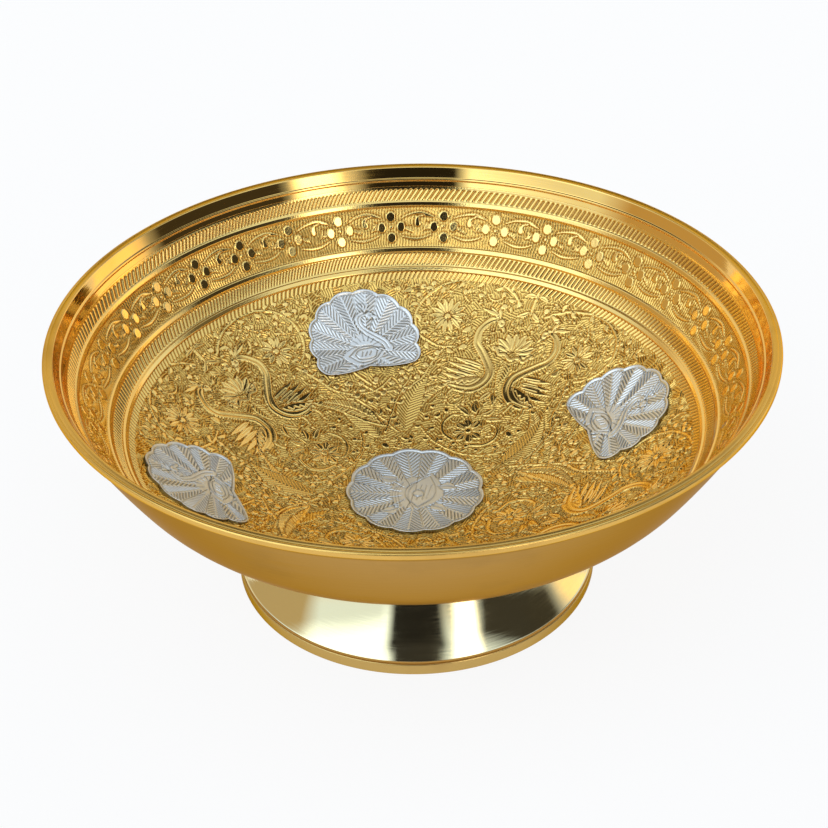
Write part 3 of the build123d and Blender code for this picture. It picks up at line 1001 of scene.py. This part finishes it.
def shellPieces():
    plainEnd = insideLength - band["start"] - shell["overlap"]
    backing = np.linspace(shell["hub"], plainEnd, shell["backingRings"])
    inside = list(zip(*section(backing, shell["backing"])))
    plain = np.linspace(plainEnd, insideLength - shell["lipGap"], shell["plainRings"])
    bump = beadBump(plain, ridgeLine, bowl["lineWidth"], bowl["lineHeight"])
    mirror = list(zip(*section(plain, -bump)))
    edge = bowl["lipRound"]
    rim = shell["lipEdge"]
    lipUnder = overallHeight - bowl["lipDepth"]
    inset, wide, deep = shell["lipGroove"]
    groove = rimRadius - edge - inset
    lip = roundCorner((lipInner + rim, overallHeight - rim), rim, 155, 90, 5)
    for shift, drop in ((-wide / 2, 0), (0, deep), (wide / 2, 0)):
        lip.append((groove + shift, overallHeight - drop))
    lip += roundCorner((rimRadius - edge, overallHeight - edge), edge, 90, 0)
    lip += roundCorner((rimRadius - edge, lipUnder + edge), edge, 0, -90)
    outside = np.linspace(insideLength, shell["hub"], shell["outsideRings"])
    wallLine = np.array(section(outside, bowl["wall"])).T
    wallLine = [tuple(point) for point in wallLine if point[1] < lipUnder]
    profile = np.array(inside + mirror + lip + wallLine)
    points, faces = turnOnAxis(profile, shell["segments"])
    ends = [(0, 0, profile[0][1]), (0, 0, profile[-1][1])]
    ring = np.arange(shell["segments"])
    caps = np.vstack([
        fanFaces(ring, len(points))[:, ::-1],
        fanFaces(ring + len(points) - shell["segments"], len(points) + 1),
    ])
    mesh = buildMesh("bowlShell", np.vstack([points, ends]), faces[:, ::-1], caps=caps)
    addPiece("bowlShell", mesh, "bowl", bowlMirror)
    mesh.materials.append(lipSatin)
    mesh.materials.append(bowlSatinPaintedShade)
    lipFrom = len(inside) + len(mirror)
    ring = np.repeat(np.arange(len(profile) - 1), shell["segments"])
    finish = (ring >= lipFrom).astype(np.int32) + (ring >= lipFrom + len(lip))
    capFinish = np.where(np.arange(len(caps)) < shell["segments"], 0, 2)
    mesh.polygons.foreach_set("material_index", np.append(finish, capFinish).astype(np.int32))


shellPieces()
print("shell made")

# Silver medallions, bent to the dish
medallion = {
    "film": 0.1,
    "thickness": 0.6,
    "rings": 90,
    "perLobe": 42,
    "border": 0.85,
    "borderHeight": 0.12,
    "hubShare": 0.006,  # of the reach, where the rings start
    "polish": 0.6,
    "barbPitch": 1.65,
    "barbDepth": 0.4,
    "quillHalf": 0.2,
    "gapDepth": 0.26,  # between two feathers
    "grooveDepth": 0.3,  # inside the border
    "grooveHalf": 0.4,
    "recessDepth": 0.42,
    "edgeFall": 0.12,  # from the top to the rounded edge, and on down to the dish
    "edgeDepth": 1.25,
}
rosette = {"diameter": 53.0, "lobes": 13, "bulge": 1.9, "featherStart": 9.0, "wobble": 0.1}
fan = {
    "lobes": 10, "sweep": 238.0, "side": 20.5, "rise": 5.0, "hubDrop": 8.0,
    "baseNotch": 1.6, "baseBulge": 1.4,
    "feathers": 13.8,  # in a full turn
    "featherStart": 6.0, "wobble": 0.12,
}


def arcPoints(start, end, bulge, hub, count):
    start, end = np.asarray(start), np.asarray(end)
    half = math.dist(start, end) / 2
    middle = (start + end) / 2
    out = (middle - hub) / math.dist(middle, hub)
    radius = (half**2 + bulge**2) / (2 * bulge)
    along = (end - start) / (2 * half)
    swing = math.asin(half / radius)
    angles = np.linspace(-swing, swing, count, endpoint=False)[:, None]
    return middle + out * (bulge - radius) + radius * (np.sin(angles) * along + np.cos(angles) * out)


def scallopedOutline(notches, bulges, hub):
    pairs = zip(notches, notches[1:], bulges)
    return np.vstack([arcPoints(a, b, bulge, hub, medallion["perLobe"]) for a, b, bulge in pairs])


def medallionCanvas(outline, hub):
    t = np.linspace(medallion["hubShare"], 1, medallion["rings"])[:, None, None]
    spots = hub + t * (outline - hub)
    canvas = newCanvas(spots[..., 0], spots[..., 1], None, 0.0)
    canvas["polish"][:] = medallion["polish"]
    canvas["out"] = t[..., 0] * np.hypot(*(outline - hub).T)
    canvas["reach"] = np.hypot(*(outline - hub).T)[None, :]
    return canvas


def engraveFeathers(canvas, lobes, start):
    count = canvas["x"].shape[1]
    lobe = ((np.arange(count) % medallion["perLobe"]) / medallion["perLobe"] - 0.5)[None, :]
    phase = rng.random(count)[np.arange(count) // medallion["perLobe"]][None, :]
    reach, out, height = canvas["reach"], canvas["out"], canvas["height"]
    width = out * 2 * math.pi / lobes
    side = np.abs(lobe) * width
    wave = ((out - side) / medallion["barbPitch"] + phase) % 1
    barbs = np.clip(1.15 - np.abs(wave - 0.5) * 4.4, 0, 1)
    inside = smoothStep((side - medallion["quillHalf"]) / 0.25) * smoothStep((0.47 * width - side) / 0.3)
    border = reach - medallion["border"]
    inside = inside * smoothStep((out - start) / 1.0) * smoothStep((border - 0.4 - out) / 0.4)
    height -= medallion["barbDepth"] * barbs * inside
    gap = smoothStep((np.abs(lobe) - 0.5 + 0.28 / np.maximum(width, 0.8)) / 0.025)
    height -= medallion["gapDepth"] * gap * (out > start * 0.6) * (out < border)
    height += medallion["borderHeight"] * smoothStep((out - border + 0.15) / 0.25)
    groove = np.clip(1 - np.abs(out - border + 0.45) / medallion["grooveHalf"], 0, 1)
    height -= medallion["grooveDepth"] * groove


def paintPeacock(pen):
    drawLeaf(pen, (-9.8, -10.6), (8.8, -9.8), 8.6, bend=-0.05, rib=False, polish=0.5)
    for inset in (1.0, 2.2):
        tips = (-9.2 + 2 * inset, -10.6), (8.0 - 1.6 * inset, -9.8)
        for bow in (4.2 - inset, inset - 4.2):
            cutLine(pen, [tips[0], (-3, bow - 10.6), (2.6, bow - 10.2), tips[1]], 0.55, 0.34)
    for i in range(3):
        cutLine(pen, [(-2.4 + 1.6 * i, -11.2), (-1.2 + 1.6 * i, -9.4)], 0.5, 0.3)
    neck = [
        (9.2, -9.4), (8.2, -6.4), (5.6, -3.6), (2.6, -1), (0.4, 1.8),
        (-0.5, 4.7), (0.6, 7), (2.9, 7.8), (4.8, 6.8),
    ]
    drawStem(pen, neck, [1.5, 1.35, 1.15, 1.0, 0.9], polish=0.5)
    cutLine(pen, neck[:-1], 0.5, 0.3)
    drawDot(pen, (4.6, 6.5), 1.4, polish=0.5)
    cutLine(pen, [(4.6, 6.8), (4.9, 6.7)], 0.6, 0.35)
    drawLeaf(pen, (5.6, 6.2), (8.2, 4.6), 1.3, rib=False)
    for i in range(3):
        drawStem(pen, [(3.2, 8.6), (1.6 + 1.6 * i, 11.4)], [0.25, 0.4])
    for foot in (-2.6, 3.4):
        cutLine(pen, [(foot, -14.4), (foot - 0.6, -16.6)], 0.6, 0.3)


def paintRosetteBird(pen):
    drawLeaf(pen, (0.4, -10), (6.4, 11.8), 12.6, bend=-0.05, rib=False, polish=0.8, blunt=0.9)
    for i in range(4):
        cutLine(pen, [(-1.6 + 1.9 * i, -4.6 + 0.5 * i), (0.6 + 1.8 * i, 5.4 - 0.3 * i)], 0.5, 0.22)
    cutLine(pen, [(0.8, -8.4), (-3.6, -2), (-2.6, 4.4), (5.6, 10.4)], 0.6, 0.26)
    cutLine(pen, [(0.8, -8.4), (6.2, -3.4), (7.6, 2.6), (5.8, 10.4)], 0.6, 0.26)
    drawDot(pen, (1.1, 0), 1.7, polish=1.0, level=0.08)
    for offset in (0, 1.2, 2.4):
        curve = [(-4.4 - offset, 6.6 - offset), (-6.2 - offset, 0), (-5.4 - offset, -7.6 - offset)]
        cutLine(pen, curve, 0.55, 0.24)
    for base, tip in (
        ((-6.6, 8.4), (-13.6, 10.2)), ((9, 3.6), (15.4, 1.6)),
        ((-7, -9.2), (-13, -11.4)), ((5.6, -8), (10.6, -12)),
    ):
        drawLeaf(pen, base, tip, 4.4, bend=0.12, polish=0.8)


def addMedallion(name, node, canvas, out, across, up):
    x, y, height = canvas["x"], canvas["y"], canvas["height"]
    edge = np.full((1, x.shape[1]), 1.0)
    x = np.vstack([x, x[-1:], x[-1:]])
    y = np.vstack([y, y[-1:], y[-1:]])
    height = np.vstack([height, -medallion["edgeFall"] * edge, -medallion["edgeDepth"] * edge])
    # The rounded edge and the part down in the dish get full recess and so the Deep colour: painted shade
    # where the medallion meets the dish
    recess = np.vstack([recessOf(canvas["height"], medallion["recessDepth"]), edge, edge])
    polish = np.vstack([canvas["polish"], 0.5 * edge, 0.5 * edge])
    radius = dishRadius - medallion["film"] - medallion["thickness"] - height
    away = np.sqrt(radius**2 - x**2 - y**2)
    points = away[..., None] * out + x[..., None] * across + y[..., None] * up + (0, 0, dishZ)
    hub = points[0].mean(0)
    flat = np.stack([x, y], -1).reshape(-1, 2)
    marks = {
        "recess": np.append(recess, recess[0].mean()),
        "polish": np.append(polish, polish[0].mean()),
    }
    mesh = buildMesh(
        name, np.vstack([points.reshape(-1, 3), hub]), gridFaces(*x.shape, closed=True)[:, ::-1], marks,
        np.vstack([flat, flat[: x.shape[1]].mean(0)]), fanFaces(np.arange(x.shape[1]), x.size)[:, ::-1],
    )
    addPiece(name, mesh, node, silverEngraved)


def wallMedallions():
    hub = np.array([0, -fan["hubDrop"]])
    angles = np.radians(90 - fan["sweep"] / 2 + np.arange(fan["lobes"] + 1) * fan["sweep"] / fan["lobes"])
    reach = fan["side"] + fan["rise"] * np.maximum(0, np.sin(angles))
    notches = list(hub + reach[:, None] * rays(angles))
    baseMiddle = (notches[0] + notches[-1]) / 2 + (0, fan["baseNotch"])
    notches += [baseMiddle, notches[0]]
    bulges = [rosette["bulge"]] * fan["lobes"] + [fan["baseBulge"]] * 2
    outline = scallopedOutline(notches, bulges, hub)
    for i, place in enumerate(("right", "back", "left", "front")):
        canvas = medallionCanvas(outline, hub)
        engraveFeathers(canvas, fan["feathers"], fan["featherStart"])
        paintPeacock(newPen(canvas, wobble=fan["wobble"]))
        turn = math.radians(medallionTurn + 90 * i)
        flatOut = np.array([math.cos(turn), math.sin(turn), 0])
        out = flatOut * math.sin(medallionSlope) - np.array([0, 0, math.cos(medallionSlope)])
        across = np.array([math.sin(turn), -math.cos(turn), 0])
        up = np.cross(-out, across)
        addMedallion(f"wallMedallion.{place}", f"wall_medallion_{place}", canvas, out, across, up)


def centreMedallion():
    hub = np.array([0.0, 0.0])
    notch = rosette["diameter"] / 2 - rosette["bulge"]
    notches = list(ringSpots(hub, notch, rosette["lobes"]))
    outline = scallopedOutline(notches + notches[:1], [rosette["bulge"]] * rosette["lobes"], hub)
    canvas = medallionCanvas(outline, hub)
    engraveFeathers(canvas, rosette["lobes"], rosette["featherStart"])
    paintRosetteBird(newPen(canvas, wobble=rosette["wobble"]))
    down, right, away = np.array([0, 0, -1.0]), np.array([1.0, 0, 0]), np.array([0, 1.0, 0])
    addMedallion("centreMedallion", "centre_medallion", canvas, down, right, away)


wallMedallions()
centreMedallion()
print("medallions made")

# Foot: a spun skirt with a square base edge, hollow below
foot = {
    "edge": 4.6, "edgeRound": 0.6, "ledge": 1.2, "ring": 4.5, "wall": 2.2, "flare": 1.5,
    "neckDiameter": 98.0, "web": 2.4, "bossDiameter": 34.0, "bossHeight": 1.2, "boreDiameter": 15.0,
    "baseChamfer": 0.3, "skirtRings": 60, "seatRings": 24, "webRings": 16, "segments": 540,
}
footRadius = round(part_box("foot")[1].x / mm, 1)
seatRadius = dishRadius + bowl["wall"]


def underDish(reach, gap):
    return dishZ - np.sqrt((seatRadius + gap) ** 2 - np.square(reach))


def footPieces():
    neck = foot["neckDiameter"] / 2
    start = np.array([footRadius - foot["ledge"], foot["edge"]])
    end = np.array([neck, underDish(neck, 0.0)])
    chord = math.dist(start, end)
    lean = math.atan2(end[1] - start[1], start[0] - end[0])
    inward = np.array([-math.sin(lean), -math.cos(lean)])
    radius = (chord**2 / 4 + foot["flare"] ** 2) / (2 * foot["flare"])
    centre = (start + end) / 2 + inward * (foot["flare"] - radius)
    angles = [math.atan2(*(point - centre)[::-1]) % (2 * math.pi) for point in (start, end)]
    sweep = np.linspace(*angles, foot["skirtRings"])
    ray = rays(sweep)
    skirt = [tuple(p) for p in centre + radius * ray]
    lining = [tuple(p) for p in (centre + (radius + foot["wall"]) * ray)[::-1]]
    boss = foot["bossDiameter"] / 2
    bore = foot["boreDiameter"] / 2
    bossZ = dishUnder - foot["web"] - foot["bossHeight"]
    ringIn = footRadius - foot["ring"]
    lining = [p for p in lining if p[1] < underDish(p[0], foot["web"]) and p[0] < ringIn]
    seat = [(r, float(underDish(r, 0.0))) for r in np.linspace(neck, bore, foot["seatRings"])]
    webReach = np.linspace(boss, lining[0][0], foot["webRings"])
    web = [(r, float(underDish(r, foot["web"]))) for r in webReach]
    edge = foot["edgeRound"]
    chamfer = foot["baseChamfer"]
    base = [(ringIn, foot["edge"]), (ringIn, chamfer), (ringIn + chamfer, 0.0)]
    base += roundCorner((footRadius - edge, edge), edge, -90, 0)
    base += roundCorner((footRadius - edge, foot["edge"] - edge), edge, 0, 90)
    runs = [base, skirt, seat, [(bore, bossZ), (boss, bossZ)], web, lining, base[:1]]
    profile = np.array(sum(runs, []))
    points, faces = turnOnAxis(profile, foot["segments"])
    mesh = buildMesh("footShell", points, faces[:, ::-1])
    addPiece("footShell", mesh, "foot", footSatinPaintedShade)
    mesh.materials.append(footMirrorPaintedHighlight)
    ring = np.repeat(np.arange(len(profile) - 1), foot["segments"])
    mirror = (ring >= len(base) - 1) & (ring < len(base) + len(skirt))
    mesh.polygons.foreach_set("material_index", mirror.astype(np.int32))


footPieces()
for node in ("plain_washer", "spring_washer", "hex_nut", "fixing_stud"):
    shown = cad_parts[node].data
    shown.materials.clear()
    shown.materials.append(studBrass if node == "fixing_stud" else zincSteel)
print("foot made")

# Studio: a pale floor under soft panels, with a few dark screens for the polish to show
studio = {
    "floorSize": 30.0,
    "floorLip": (1.0, 0.8),  # how far out and how high the far edge of the floor turns up
    "floorDrop": 0.0001,
    "floorTone": 0.95,
    "floorGlow": 0.88,  # share of the floor that is seen as plain white
    "room": (0.5, 0.49, 0.47),
    "panels": (  # azimuth, elevation, half width, half height and soft edge in degrees, brightness, tint
        (90, 32, 55, 18, 12, 0.9, "warm"),  # soft board behind the bowl
        (-80, 60, 70, 38, 12, 1.15, "cool"),  # wide soft panel above the front
        (-137, 42, 27, 22, 10, 2.2, "cool"),  # brighter panel at its left
        (-143, 14, 30, 10, 8, 1.15, "cool"),  # board below that
        (-58, 27, 7, 14, 5, 4.0, "white"),  # narrow lamp
        (-100, 3, 62, 9, 8, 1.0, "white"),  # low board in front
        (33, 7, 24, 8, 8, 1.6, "amber"),  # low warm board at the right
        (172, 12, 24, 14, 10, 0.55, "amber"),  # dimmer one at the left
        (88, 61, 29, 13, 8, 0.03, "white"),  # dark screen high at the back
        (0, 36, 18, 9, 8, 0.15, "warm"),  # dim screen at the right
        (-22, 20, 25, 12, 7, 0.05, "warm"),  # darker one below it
        (-91, 24, 16, 12, 5, 0.02, "white"),  # dark screen in front
        (-91, 44, 13, 12, 5, 0.04, "white"),  # its narrower top
    ),
    "tints": {
        "white": (1.0, 0.99, 0.97), "cool": (0.8, 0.96, 1.16),
        "warm": (1.0, 0.95, 0.82), "amber": (1.0, 0.8, 0.48),
    },
}


def makeFloor():
    half = studio["floorSize"] / 2
    run, rise = studio["floorLip"]
    mesh = bpy.data.meshes.new("floor")
    corners = [(-1, -1), (1, -1), (1, 1), (-1, 1)]
    points = [(half * x, half * y, -studio["floorDrop"]) for x, y in corners]
    points += [((half + run) * x, (half + run) * y, rise) for x, y in corners]
    sides = [(i, i + 4, (i + 1) % 4 + 4, (i + 1) % 4) for i in range(4)]
    mesh.from_pydata(points, [], [(0, 1, 2, 3)] + sides)
    floor = bpy.data.objects.new("floor", mesh)
    scene.collection.objects.link(floor)
    material, tree, shader = newMaterial("paleFloor")
    tone = studio["floorTone"]
    setInputs(shader, {"Base Color": (tone, tone, tone, 1), "Roughness": 0.9, "Specular IOR Level": 0.1})
    glow = tree.nodes.new("ShaderNodeEmission")
    path = tree.nodes.new("ShaderNodeLightPath").outputs
    seen = addMath(tree, "ADD", path["Is Camera Ray"], path["Is Glossy Ray"])
    seen = addMath(tree, "ADD", seen, path["Is Transmission Ray"], clamp=True)
    lit = tree.nodes.new("ShaderNodeMixShader")
    tree.links.new(addMath(tree, "MULTIPLY", seen, studio["floorGlow"]), lit.inputs[0])
    tree.links.new(shader.outputs[0], lit.inputs[1])
    tree.links.new(glow.outputs[0], lit.inputs[2])
    below = tree.nodes.new("ShaderNodeMixShader")  # clear from below, to show the underside of the bowl
    tree.links.new(tree.nodes.new("ShaderNodeNewGeometry").outputs["Backfacing"], below.inputs[0])
    tree.links.new(lit.outputs[0], below.inputs[1])
    tree.links.new(tree.nodes.new("ShaderNodeBsdfTransparent").outputs[0], below.inputs[2])
    tree.links.new(below.outputs[0], tree.nodes["Material Output"].inputs["Surface"])
    mesh.materials.append(material)


def panelGroup():
    takes = {"Before": "Color", "Aim": "Vector", "Across": "Vector", "Up": "Vector"}
    takes.update({"Half Width": "Float", "Half Height": "Float", "Soft": "Float", "Light": "Color"})
    group, goesIn, goesOut = newGroup("softPanel", takes, {"After": "Color"})
    toward = group.nodes.new("ShaderNodeTexCoord").outputs["Generated"]

    def facing(axis):
        node = group.nodes.new("ShaderNodeVectorMath")
        node.operation = "DOT_PRODUCT"
        group.links.new(toward, node.inputs[0])
        group.links.new(goesIn.outputs[axis], node.inputs[1])
        return node.outputs["Value"]

    mask = addMath(group, "GREATER_THAN", facing("Aim"), 0.0)
    for axis, half in (("Across", "Half Width"), ("Up", "Half Height")):
        inset = addMath(group, "SUBTRACT", goesIn.outputs[half], addMath(group, "ABSOLUTE", facing(axis)))
        inset = addMath(group, "DIVIDE", inset, goesIn.outputs["Soft"])
        inset = addMath(group, "ADD", inset, 0.5, clamp=True)
        mask = addMath(group, "MULTIPLY", mask, inset)
    after = addMix(group, "RGBA", mask, goesIn.outputs["Before"], goesIn.outputs["Light"])
    group.links.new(after, goesOut.inputs["After"])
    return group


def makeWorld():
    world = bpy.data.worlds.new("studio")
    scene.world = world
    world.use_nodes = True
    tree = world.node_tree
    panel = panelGroup()
    light = (*studio["room"], 1)
    for azimuth, elevation, width, height, soft, bright, tint in studio["panels"]:
        turn, rise = math.radians(azimuth), math.radians(elevation)
        aim = Vector((math.cos(rise) * math.cos(turn), math.cos(rise) * math.sin(turn), math.sin(rise)))
        across = Vector((-math.sin(turn), math.cos(turn), 0))
        node = tree.nodes.new("ShaderNodeGroup")
        node.node_tree = panel
        plug(tree, node.inputs["Before"], light)
        setInputs(node, {
            "Aim": aim, "Across": across, "Up": aim.cross(across), "Soft": math.radians(soft),
            "Half Width": math.sin(math.radians(width)), "Half Height": math.sin(math.radians(height)),
            "Light": (*(bright * part for part in studio["tints"][tint]), 1),
        })
        light = node.outputs["After"]
    tree.links.new(light, tree.nodes["Background"].inputs["Color"])


camera = {
    "lookAt": (0.125, 0.0, 64.47),
    "elevation": 34.327,
    "distance": 606.05,
    "focal": 1680.6,  # in pixels of the 828 px frame
    "frame": 828,
    "roll": -1.236,
    "sensor": 36.0,
}


def makeCamera():
    data = bpy.data.cameras.new("camera")
    made = bpy.data.objects.new("camera", data)
    scene.collection.objects.link(made)
    rise = math.radians(camera["elevation"])
    back = Vector((0, -math.cos(rise), math.sin(rise)))
    made.location = Vector(camera["lookAt"]) * mm + back * camera["distance"] * mm
    aim = Euler((math.pi / 2 - rise, 0, 0)).to_matrix().to_4x4()
    roll = Euler((0, 0, math.radians(camera["roll"]))).to_matrix().to_4x4()
    made.rotation_euler = (aim @ roll).to_euler()
    data.sensor_width = camera["sensor"]
    data.lens = camera["focal"] / camera["frame"] * camera["sensor"]
    data.clip_start = 0.01
    data.clip_end = 100
    scene.camera = made


makeFloor()
makeWorld()
makeCamera()
scene.view_settings.view_transform = "Standard"
print("studio made")
